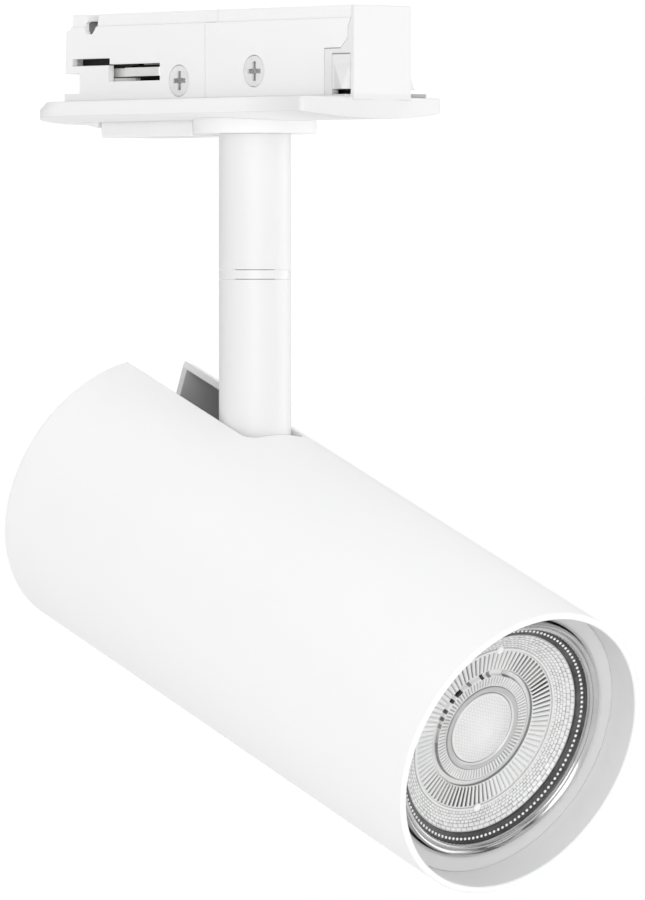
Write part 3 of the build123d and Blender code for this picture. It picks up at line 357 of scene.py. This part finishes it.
def cover_screws():
    """Bright satin plate on the screw heads, with painted shade in the driver recess behind the head face."""
    m = Mat("white_zinc_screw_plate", Metallic=0.30)
    grain = m.noise(700, 4.0, 0.65)
    bright = m.ramp(grain, (0.3, grey(0.88)), (0.7, grey(0.93)))
    painted_recess_shade = m.ramp(m.noise(1500, 3.0, 0.7), (0.35, grey(0.26)), (0.65, grey(0.62)))
    split = m.node("ShaderNodeSeparateXYZ")
    m.link(m.coord, split.inputs[0])
    # painted shade: everything behind the head face, in the driver recess, is painted dark grey
    m.to("Base Color", m.mix(m.span(split.outputs[1], 0.0, 1.0, -0.00720, -0.00700), bright, painted_recess_shade))
    m.to("Roughness", m.span(grain, 0.40, 0.55))
    m.bump(grain, 0.000006, 0.5)
    return m.done()


M["cover_screws"] = cover_screws()
# the baffle's white plastic coloured grey as painted shade in the recess round the lamp
M["baffle"] = moulded("baffle_plastic_painted_shade", 0.70, rough=(0.40, 0.50))
M["tongue_plastic"] = moulded("grey_polyamide", 0.42, (0.4, 0.5), 1800)


def ceramic():
    m = Mat("glazed_steatite", Coat_Weight=0.5, Coat_Roughness=0.12)
    speck = m.ramp(m.cells(1500), (0.0, (0.5, 0.44, 0.36)), (0.1, (0.76, 0.73, 0.66)), (1.0, (0.78, 0.75, 0.68)))
    cloud = m.ramp(m.noise(60, 3.0), (0.3, grey(0.95)), (0.7, grey(1.0)))
    m.to("Base Color", m.mix(1.0, speck, cloud, "MULTIPLY"))
    m.to("Roughness", m.span(m.noise(500), 0.3, 0.45))
    m.soft_edges(0.0002)
    m.bump(m.noise(900, 3.0), 0.00001, 0.6)
    return m.done()


def silicone():
    m = Mat("silicone_insulation")
    dust = m.noise(900, 4.0, 0.65)
    m.to("Base Color", m.ramp(dust, (0.3, (0.72, 0.71, 0.68)), (0.7, (0.80, 0.79, 0.76))))
    m.to("Roughness", m.span(m.noise(300), 0.5, 0.66))
    m.bump(m.noise(1600, 2.0), 0.000008, 0.5)
    return m.done()


def woven_sleeve():
    m = Mat("glass_fibre_sleeve", Sheen_Weight=0.25, Sheen_Roughness=0.5)
    a = m.waves(260, 0.4, m.mapped((1, 1, 1), (0.0, 0.78, 0.6)), "DIAGONAL")
    b = m.waves(260, 0.4, m.mapped((1, 1, 1), (0.0, -0.78, -0.6)), "DIAGONAL")
    weave = m.node("ShaderNodeMath", operation="MAXIMUM")
    m.link(a, weave.inputs[0])
    m.link(b, weave.inputs[1])
    m.to("Base Color", m.ramp(weave.outputs[0], (0.1, (0.55, 0.54, 0.5)), (0.8, (0.84, 0.83, 0.78))))
    m.to("Roughness", m.span(m.noise(900), 0.6, 0.8))
    m.bump(weave.outputs[0], 0.00006, 0.8)
    return m.done()


def solder_mask():
    m = Mat("white_solder_mask", Coat_Weight=0.3, Coat_Roughness=0.2)
    tracks = m.ramp(m.waves(110, 3.0, m.mapped((1, 1, 1), (0.2, 0.4, 0.1))), (0.0, grey(0.80)), (0.47, grey(0.80)), (0.53, grey(0.74)), (1.0, grey(0.74)))
    m.to("Base Color", tracks)
    m.to("Roughness", m.span(m.noise(700), 0.25, 0.4))
    m.bump(m.waves(110, 3.0, m.mapped((1, 1, 1), (0.2, 0.4, 0.1))), 0.00002, 0.5)
    return m.done()


def phosphor():
    m = Mat("diffusing_phosphor", Subsurface_Weight=0.3, Subsurface_Scale=0.001)
    m.to("Base Color", m.ramp(m.noise(2600, 4.0, 0.7), (0.3, (0.82, 0.80, 0.72)), (0.7, (0.90, 0.88, 0.80))))
    m.to("Roughness", m.span(m.noise(800), 0.3, 0.5))
    m.bump(m.noise(3000, 2.0), 0.00001, 0.6)
    return m.done()


def silvered_glass():
    m = Mat("silvered_lamp_glass", Metallic=1.0)
    haze = m.noise(120, 4.0, 0.6, 0.4)
    m.to("Base Color", m.ramp(haze, (0.3, grey(0.78)), (0.7, grey(0.90))))
    m.to("Roughness", m.span(m.noise(500, 3.0), 0.10, 0.22))
    m.bump(m.noise(240, 2.0, 0.5), 0.00008, 0.5)
    return m.done()


def lens_glass():
    """Clear moulded acrylic over a bright backing, with light painted into its base colour from the vertex tone:
    painted highlights on the crests, painted shade in the grooves.
    """
    m = Mat("moulded_lens", IOR=1.49, Transmission_Weight=0.12, Coat_Weight=0.6, Coat_Roughness=0.03)
    tint = m.ramp(m.noise(260, 3.0), (0.3, grey(0.95)), (0.7, grey(0.99)))
    # painted light: the base colour is near black in the grooves as painted shade and near white on the crests as
    # painted highlights
    painted_crest_light = m.ramp(m.painted_light_tone(), (0.0, grey(0.04)), (0.30, grey(0.30)), (0.55, grey(0.78)), (0.85, grey(0.97)))
    m.to("Base Color", m.mix(1.0, painted_crest_light, tint, "MULTIPLY"))
    m.to("Roughness", m.span(m.noise(900, 3.0), 0.02, 0.08))
    m.bump(m.noise(1500, 2.0), 0.000003, 0.4)
    return m.done()


def rim_glass():
    """Fire-polished glass with silvering behind it, drawn a little uneven round the rim."""
    m = Mat("fire_polished_rim", IOR=1.5, Metallic=0.92, Coat_Weight=0.7, Coat_Roughness=0.05)
    streak = m.noise(1.0, 2.0, 0.5, 0.3, m.mapped((160, 90, 160)))
    m.to("Base Color", m.ramp(streak, (0.3, grey(0.46)), (0.7, grey(0.56))))
    m.to("Roughness", m.span(m.noise(400, 3.0), 0.12, 0.24))
    m.bump(m.noise(420, 2.0, 0.5), 0.000015, 0.5)
    return m.done()


M["ceramic"] = ceramic()
M["lead_silicone"] = silicone()
M["glass_sleeve"] = woven_sleeve()
M["lamp_plastic"] = moulded("lamp_cap_plastic", 0.78, (0.38, 0.5), 2200, 0.0002, 0.006)
M["lamp_reflector"] = silvered_glass()
M["lamp_rim"] = rim_glass()
M["clear_lens"] = lens_glass()
M["board"] = solder_mask()
M["phosphor"] = phosphor()
M["dot_ring"] = plated("dark_lens_seat", 0.13, (0, 0, 0), (0.32, 0.46), (400, 400, 400), edge=0)
M["lens_beads"] = moulded("frosted_lens_beads", 0.95, (0.15, 0.25), 3000, 0, 0.0, 0.000002, Coat_Weight=0.5, Coat_Roughness=0.05)

SLOT_OF = {r["node"]: r["material_slot"] for r in frame["record"]["subparts"]}
for name, obj in NODES.items():
    mat = M[SLOT_OF[name]]
    # the covers and housing body take the lit copy of the white plastic, as painted light
    if name in ("near_cover_rear", "near_cover_front", "housing_body"):
        mat = M["moulded_side"]
    # the stem takes the shaded copy of the white coat, as painted shade
    if name in ("upper_stem", "lower_stem"):
        mat = M["stem_paint"]
    if name == "swivel_ring":
        mat = M["stem_ring"]
    if name == "flange_base":
        mat = M["flange_white"]
    if name in ("release_button", "stem_collar"):
        mat = M["moulded_bright"]
    if name == "baffle_ring":
        mat = M["baffle"]
    if name == "lock_tongue":
        mat = M["tongue_plastic"]
    if name == "housing_screws":
        mat = M["cover_screws"]
    if name == "contact_carrier":
        mat = M["carrier"]
    for i in range(len(obj.data.materials)):
        obj.data.materials[i] = mat


# ------------------------------------------------------------------ revolved meshes about the beam axis
def revolved(name, rows, nth, material, body="lamp", sharp=None, closed=False, painted_light_tone=None):
    """A skin of rows about the beam axis. Each row is (r, s), numbers or arrays round the turn, in millimetres.
    closed joins the last row to the first, and otherwise a first or last row of radius 0 is one point."""
    th = np.arange(nth) * 2 * PI / nth
    verts, index = [], []
    for r, s in rows:
        if np.ndim(r) == 0 and r == 0:
            index.append(("p", len(verts)))
            verts.append(head_points(float(np.mean(s)), 0.0, 0.0))
        else:
            rr = np.broadcast_to(np.asarray(r, float), (nth,))
            ss = np.broadcast_to(np.asarray(s, float), (nth,))
            index.append(("r", len(verts)))
            verts.extend(head_points(ss, rr * np.cos(th), rr * np.sin(th)))
    faces = []
    pairs = list(zip(index[:-1], index[1:])) + ([(index[-1], index[0])] if closed else [])
    for (ka, a), (kb, b) in pairs:
        for i in range(nth):
            j = (i + 1) % nth
            if ka == "p":
                faces.append((a, b + j, b + i))
            elif kb == "p":
                faces.append((a + i, a + j, b))
            else:
                faces.append((a + i, a + j, b + j, b + i))
    mesh = bpy.data.meshes.new(name)
    mesh.from_pydata([tuple(v) for v in verts], [], faces)
    # the painted light tone, when given, is stored on each vertex for the material
    if painted_light_tone is not None:
        values = []
        for (kind, _), row in zip(index, painted_light_tone):
            values.extend([float(np.mean(row))] if kind == "p" else np.broadcast_to(np.asarray(row, float), (nth,)).tolist())
        mesh.attributes.new("painted_light_tone", "FLOAT", "POINT").data.foreach_set("value", values)
    mesh.polygons.foreach_set("use_smooth", [True] * len(mesh.polygons))
    if sharp:
        mesh.set_sharp_from_angle(angle=math.radians(sharp))
    obj = bpy.data.objects.new(name, mesh)
    bpy.context.scene.collection.objects.link(obj)
    mesh.materials.append(material)
    fix_winding(obj)
    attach(obj, body)
    return obj


def fix_winding(obj):
    """Turns a closed mesh's faces outwards."""
    import bmesh
    bm = bmesh.new()
    bm.from_mesh(obj.data)
    bmesh.ops.recalc_face_normals(bm, faces=bm.faces)
    bm.to_mesh(obj.data)
    bm.free()
    obj.data.update()


# ------------------------------------------------------------------ lamp lens
NTH = 720
TH = np.arange(NTH) * 2 * PI / NTH

BASE_R = [0.0, 2.5, 5.0, 7.3, 7.55, 7.95, 8.6, 8.9, 9.05, 11.1, 11.3, 11.55, 12.3, 12.5, 12.7, 16.7, 16.95, 17.08, 17.45, 17.6, 19.5, 21.0, 21.2]
BASE_S = [74.6, 74.48, 74.15, 73.60, 73.35, 73.82, 73.95, 73.85, 73.65, 73.85, 73.75, 73.05, 73.05, 73.7, 73.85, 74.3, 74.35, 74.68, 74.68, 74.4, 75.2, 76.4, 76.4]
CELL_EDGES = [17.62, 18.16, 18.70, 19.24, 19.78, 20.42, 21.06]


def arc(centre, width):
    """1 at one place round the lens, in degrees, fading to 0 on both sides."""
    off = (np.degrees(TH) - centre + 180.0) % 360.0 - 180.0
    return np.exp(-(off / width) ** 2)


def scatter(k):
    """A fixed uneven value from 0 to 1 for each whole number k."""
    return np.modf(np.abs(np.sin(np.asarray(k, float) * 12.9898 + 4.1) * 43758.5453))[0]


# painted reflections: the prisms' tone is painted darker over two arcs, and the groove inside them is painted in uneven
# light and dark blocks over a third; the prisms' depth is the same all round
PAINTED_DARK_ARCS = np.clip(arc(42, 33) + 0.9 * arc(192, 34) + 0.35 * arc(330, 25), 0.0, 1.0)
PAINTED_REFLECTION_ARC = np.clip(1.6 * arc(322, 40), 0.0, 1.0)
BLOCK = scatter(np.floor(TH * 90 / (2 * PI)))
PAINTED_REFLECTION_BLOCKS = np.where(BLOCK < 0.24, 0.0, np.where(BLOCK < 0.52, 0.30, 0.9))


def lens_front(r):
    """Height of the moulded lens at radius r and its painted light tone there (0 painted shade in a groove, 1 painted
    highlight on a crest), round the whole turn.
    """
    s = np.full(NTH, np.interp(r, BASE_R, BASE_S))
    # tone is painted light: painted shade in the grooves, dips and thin rings, painted highlights on the crests, and
    # the painted reflections of the dark arcs and groove blocks
    tone = np.ones(NTH)
    x, y = r * np.cos(TH), r * np.sin(TH)
    if r < 7.2:
        k = 2 * PI / (0.74 * math.sqrt(3) / 2)
        hexes = sum(np.cos(k * (x * math.cos(a) + y * math.sin(a))) for a in (0.2, 0.2 + PI / 3, 0.2 + 2 * PI / 3))
        lump = (hexes + 1.5) / 4.5
        fade = min(1.0, (7.2 - r) / 0.3) * min(1.0, r / 0.3)
        s = s + 0.075 * lump * fade
        tone = 1.0 - fade * (1.0 - np.clip(0.52 + 0.9 * lump, 0.0, 1.0)) * (0.55 + 0.45 * r / 7.2)
    elif r < 7.9:
        tone = tone * (0.35 if 7.35 < r < 7.75 else 0.8)
    elif 8.85 < r < 9.12:
        tone = tone * 0.32
    elif 9.1 < r < 11.1:
        wave = np.clip(1.8 * np.cos(90 * TH), -1, 1)
        fade = max(min(1.0, (r - 9.1) / 0.15, (11.1 - r) / 0.15), 0.0)
        s = s + 0.14 * wave * fade
        tone = 1.0 - fade * 0.62 * (0.5 - 0.5 * wave)
    elif 11.1 <= r < 11.5:
        # painted reflection: over its arc the groove takes the light and dark blocks
        tone = tone * (0.30 * (1.0 - PAINTED_REFLECTION_ARC) + PAINTED_REFLECTION_BLOCKS * PAINTED_REFLECTION_ARC)
    elif 11.5 <= r < 12.35:
        tone = tone * (0.85 * (1.0 - PAINTED_REFLECTION_ARC) + PAINTED_REFLECTION_BLOCKS * PAINTED_REFLECTION_ARC)
    elif 12.35 <= r < 12.6:
        tone = tone * (0.26 * (1.0 - PAINTED_REFLECTION_ARC) + PAINTED_REFLECTION_BLOCKS * PAINTED_REFLECTION_ARC)
    elif 12.6 <= r < 16.85:
        reed = np.abs(np.cos(45 * TH))
        fade = max(min(1.0, (r - 12.55) / 0.25, (16.85 - r) / 0.2), 0.0)
        s = s + 0.42 * (reed - 0.45) * fade
        # painted reflection: the prisms are painted darker over the dark arcs
        tone = 1.0 - fade * (1.0 - np.clip(0.10 + 1.25 * reed ** 1.4, 0.0, 1.0)) * (0.45 + 0.55 * PAINTED_DARK_ARCS) - 0.60 * fade * PAINTED_DARK_ARCS * (reed < 0.76)
        tone = np.clip(tone, 0.0, 1.0)
    elif r < 17.08:
        tone = tone * 0.45
    elif 17.5 < r < 17.64:
        tone = tone * 0.5
    elif CELL_EDGES[0] <= r <= CELL_EDGES[-1] + 1e-6:
        row = min(int(np.searchsorted(CELL_EDGES, r + 1e-9)) - 1, len(CELL_EDGES) - 2)
        lo, hi = CELL_EDGES[row], CELL_EDGES[row + 1]
        u = (r - lo) / (hi - lo) * 2 - 1
        count = 120 if row < 4 else 90
        w = ((TH * count / (2 * PI) + 0.5 * (row % 2) + 1e-9) % 1.0) * 2 - 1
        pillow = max(1 - u * u, 0.0) * (1 - w * w)
        s = s + (0.14 if row < 4 else 0.22) * pillow
        cell = np.floor(TH * count / (2 * PI) + 0.5 * (row % 2) + 1e-9)
        # painted shade between the pillow cells, and uneven brightness from cell to cell as painted glints
        tone = np.clip(0.40 + 1.6 * pillow, 0.0, 1.0) * (0.70 + 0.30 * scatter(cell + 131 * row))
    elif r > 21.06:
        tone = tone * 0.55
    return s, tone


radii = [0.0] + list(np.arange(0.12, 7.2, 0.12)) + [7.25, 7.3, 7.45, 7.55, 7.75, 7.95, 8.3, 8.6, 8.8, 8.9, 9.0, 9.05, 9.13, 9.25, 9.4]
radii += list(np.arange(9.7, 10.9, 0.3)) + [10.95, 11.08, 11.2, 11.3, 11.45, 11.55, 11.9, 12.3, 12.4, 12.5, 12.62, 12.8]
radii += list(np.arange(13.1, 16.5, 0.36)) + [16.65, 16.82, 16.95, 17.02, 17.09, 17.28, 17.45, 17.52, 17.6]
radii += sorted({round(a + (b - a) * f, 4) for a, b in zip(CELL_EDGES, CELL_EDGES[1:]) for f in (0.0, 0.25, 0.5, 0.75, 1.0)}) + [21.12, 21.2]
fronts = [lens_front(r) for r in radii]
lens_rows = [(0.0, BASE_S[0])] + [(r, f[0]) for r, f in zip(radii[1:], fronts[1:])]
# the painted light tone for each row, kept on the lens vertices
lens_painted_light_tone = [1.0] + [f[1] for f in fronts[1:]]
lens_rows += [(21.2, 74.8), (16.5, 72.0), (10.5, 71.2), (6.4, 68.0), (3.2, 64.0), (0.0, 64.0)]
lens_painted_light_tone += [0.9] * 6
lens = revolved("moulded_lens", lens_rows, NTH, M["clear_lens"], sharp=50, painted_light_tone=lens_painted_light_tone)
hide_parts("lamp_lens")

# dark seat under the lens edge with its ring of small domes
seat = revolved("lens_seat_ring", [(21.25, 76.6), (21.4, 76.85), (21.9, 77.0), (22.75, 77.35), (22.9, 77.9), (22.95, 77.95), (22.95, 76.3), (21.25, 75.6)],
                360, M["dot_ring"], sharp=40, closed=True)


def dome_ring(name, radius, angles, size, height, s0, material):
    """Small domes set round a circle at the angles given, each a cap with its own closed base."""
    verts, faces = [], []
    seg, rings = 10, 3
    for a in angles:
        cx, cy = radius * math.cos(a), radius * math.sin(a)
        base = len(verts)
        for i in range(rings + 1):
            t = i / (rings + 1) * PI / 2
            rr, hh = size * math.cos(t), height * math.sin(t)
            for j in range(seg):
                b = 2 * PI * j / seg
                verts.append(head_points(s0 + hh, cx + rr * math.cos(b), cy + rr * math.sin(b)))
        top = len(verts)
        verts.append(head_points(s0 + height, cx, cy))
        for i in range(rings):
            for j in range(seg):
                n = (j + 1) % seg
                faces.append((base + i * seg + j, base + i * seg + n, base + (i + 1) * seg + n, base + (i + 1) * seg + j))
        for j in range(seg):
            faces.append((base + rings * seg + j, base + rings * seg + (j + 1) % seg, top))
        faces.append(tuple(base + j for j in reversed(range(seg))))
    mesh = bpy.data.meshes.new(name)
    mesh.from_pydata([tuple(v) for v in verts], [], faces)
    mesh.validate()
    mesh.polygons.foreach_set("use_smooth", [True] * len(mesh.polygons))
    mesh.set_sharp_from_angle(angle=math.radians(50))
    obj = bpy.data.objects.new(name, mesh)
    bpy.context.scene.collection.objects.link(obj)
    mesh.materials.append(material)
    fix_winding(obj)
    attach(obj, "lamp")
    return obj


dome_ring("lens_edge_domes", 22.38, [2 * PI * k / 132 for k in range(132)], 0.33, 0.26, 77.14, M["lens_beads"])

# two gate marks left on the thin ring
gates = dome_ring("lens_gate_marks", 17.3, [math.radians(-6.0), math.radians(168.0)], 0.95, 0.42, 74.6, M["lens_beads"])

# fire-polished rim of the lamp glass
rim_profile = [(23.0, 77.3), (23.05, 78.15), (23.2, 78.7), (23.45, 78.98), (23.72, 79.0), (23.88, 78.92), (24.02, 79.12), (24.3, 79.46),
               (24.6, 79.6), (24.84, 79.44), (24.97, 79.0), (25.0, 78.4), (25.0, 76.5), (23.0, 76.5)]
rim = revolved("lamp_glass_rim", rim_profile, 360, M["lamp_rim"], sharp=50, closed=True)
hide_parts("lamp_bezel")

# the ring in the stem, its outer edges drawn close to the stem on both sides so that only fine lines show
ring = NODES["swivel_ring"]
skin = bpy.data.objects.new("swivel_ring_skin", ring.data.copy())
bpy.context.scene.collection.objects.link(skin)
skin.matrix_world = ring.matrix_world.copy()
bpy.context.view_layer.update()
for v in skin.data.vertices:
    at = ring.matrix_world @ v.co
    if math.hypot(at.x, at.y) > 0.00715:
        at.z += 0.0002 if at.z > -0.03575 else -0.0002
        v.co = ring.matrix_world.inverted() @ at
skin.data.update()
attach(skin, "adapter")
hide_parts("swivel_ring")

# a copy of the return spring on the adapter, with its own mesh
wire = NODES["release_spring"]
coil = bpy.data.objects.new("return_spring_wire", wire.data.copy())
bpy.context.scene.collection.objects.link(coil)
bpy.context.view_layer.update()
coil.matrix_world = wire.matrix_world.copy()
bpy.context.view_layer.update()
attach(coil, "adapter")
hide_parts("release_spring")
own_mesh(coil)

# ------------------------------------------------------------------ stage, light, camera
def stage_floor():
    z = float(CAD_LO.z) - 0.19
    mesh = bpy.data.meshes.new("floor")
    w = 12.0
    mesh.from_pydata([(-w, -w, z), (w, -w, z), (w, w, z), (-w, w, z)], [], [(0, 1, 2, 3)])
    obj = bpy.data.objects.new("floor", mesh)
    bpy.context.scene.collection.objects.link(obj)
    m = Mat("pale_floor", Emission_Color=(1.0, 1.0, 1.0, 1.0), Emission_Strength=0.05)
    # a faint glow that only the camera sees, so that the floor stays pale without lighting the head from below
    path = m.node("ShaderNodeLightPath")
    m.to("Emission Strength", m.span(path.outputs["Is Camera Ray"], 0.05, 0.27, 0.0, 1.0))
    m.to("Base Color", m.ramp(m.noise(3, 2.0), (0.3, grey(0.95)), (0.7, grey(0.965))))
    m.to("Roughness", m.span(m.noise(8), 0.7, 0.8))
    mesh.materials.append(m.done())
    return obj


stage_floor()


def area(name, at, look, size, watts, shape="SQUARE", size_y=None):
    light = bpy.data.lights.new(name, "AREA")
    light.shape = shape
    light.size = size
    if size_y:
        light.size_y = size_y
    light.energy = watts
    obj = bpy.data.objects.new(name, light)
    bpy.context.scene.collection.objects.link(obj)
    obj.location = at
    obj.rotation_mode = "QUATERNION"
    obj.rotation_quaternion = (Vector(look) - Vector(at)).to_track_quat("-Z", "Y")
    return obj


CENTRE = (0.01, 0.0, -0.07)
# direction of each lobe of the world light and its strength; None is the even part
WORLD_LOBES = [(None, 0.56), ((0.0, 0.0, 1.0), 0.44)]
area("right_softbox", (0.45, 1.20, 0.10), CENTRE, 0.8, 5.0, "RECTANGLE", 1.2)
area("front_softbox", (1.65, -1.45, 0.05), CENTRE, 1.6, 21.5)


def world_light():
    """Studio light as soft lobes about a few directions. Mirrors and clear pieces see it broken up by dark gaps."""
    world = bpy.data.worlds.new("studio")
    bpy.context.scene.world = world
    world.use_nodes = True
    nt = world.node_tree
    nt.nodes.clear()

    def maths(op, a, b=None):
        n = nt.nodes.new("ShaderNodeMath")
        n.operation = op
        for k, v in enumerate((a, b)):
            if isinstance(v, (int, float)):
                n.inputs[k].default_value = v
            elif v is not None:
                nt.links.new(v, n.inputs[k])
        return n.outputs[0]

    direction = nt.nodes.new("ShaderNodeTexCoord").outputs["Generated"]
    total = None
    for toward, weight in WORLD_LOBES:
        if toward is None:
            term = maths("ADD", weight, 0.0)
        else:
            dot = nt.nodes.new("ShaderNodeVectorMath")
            dot.operation = "DOT_PRODUCT"
            dot.inputs[1].default_value = Vector(toward).normalized()
            nt.links.new(direction, dot.inputs[0])
            up = maths("MAXIMUM", dot.outputs["Value"], 0.0)
            term = maths("MULTIPLY", maths("MULTIPLY", up, up), weight)
        total = term if total is None else maths("ADD", total, term)
    path = nt.nodes.new("ShaderNodeLightPath")
    noise = nt.nodes.new("ShaderNodeTexNoise")
    noise.inputs["Scale"].default_value = 3.4
    noise.inputs["Detail"].default_value = 1.0
    nt.links.new(direction, noise.inputs["Vector"])
    gaps = nt.nodes.new("ShaderNodeMapRange")
    for key, value in (("From Min", 0.40), ("From Max", 0.47), ("To Min", 0.06), ("To Max", 1.25)):
        gaps.inputs[key].default_value = value
    nt.links.new(noise.outputs["Fac"], gaps.inputs["Value"])
    sharp = maths("MAXIMUM", path.outputs["Is Glossy Ray"], path.outputs["Is Transmission Ray"])
    # 1 for soft rays, the gap pattern for sharp ones
    broken = maths("ADD", maths("MULTIPLY", sharp, maths("SUBTRACT", gaps.outputs[0], 1.0)), 1.0)
    lit = nt.nodes.new("ShaderNodeBackground")
    lit.inputs["Color"].default_value = (1, 1, 1, 1)
    nt.links.new(maths("MULTIPLY", total, broken), lit.inputs["Strength"])
    plain = nt.nodes.new("ShaderNodeBackground")
    plain.inputs["Color"].default_value = (1, 1, 1, 1)
    plain.inputs["Strength"].default_value = 1.05
    mix = nt.nodes.new("ShaderNodeMixShader")
    nt.links.new(path.outputs["Is Camera Ray"], mix.inputs["Fac"])
    nt.links.new(lit.outputs[0], mix.inputs[1])
    nt.links.new(plain.outputs[0], mix.inputs[2])
    out = nt.nodes.new("ShaderNodeOutputWorld")
    nt.links.new(mix.outputs[0], out.inputs["Surface"])


world_light()

cam_data = bpy.data.cameras.new("camera")
cam = bpy.data.objects.new("camera", cam_data)
bpy.context.scene.collection.objects.link(cam)
cam_data.lens = 306.3
cam_data.sensor_width = 36.0
cam_data.sensor_fit = "AUTO"
cam_data.clip_start, cam_data.clip_end = 0.05, 60.0
cam.location = (1.1774, -1.0091, -0.0336)
cam.rotation_mode = "QUATERNION"
cam.rotation_quaternion = (Vector((0.0090, 0.0103, -0.0713)) - cam.location).to_track_quat("-Z", "Y")
bpy.context.scene.camera = cam

view = bpy.context.scene.view_settings
view.view_transform = "Standard"
view.look = "None"
view.exposure = 0.0
view.gamma = 1.0

bpy.context.view_layer.update()
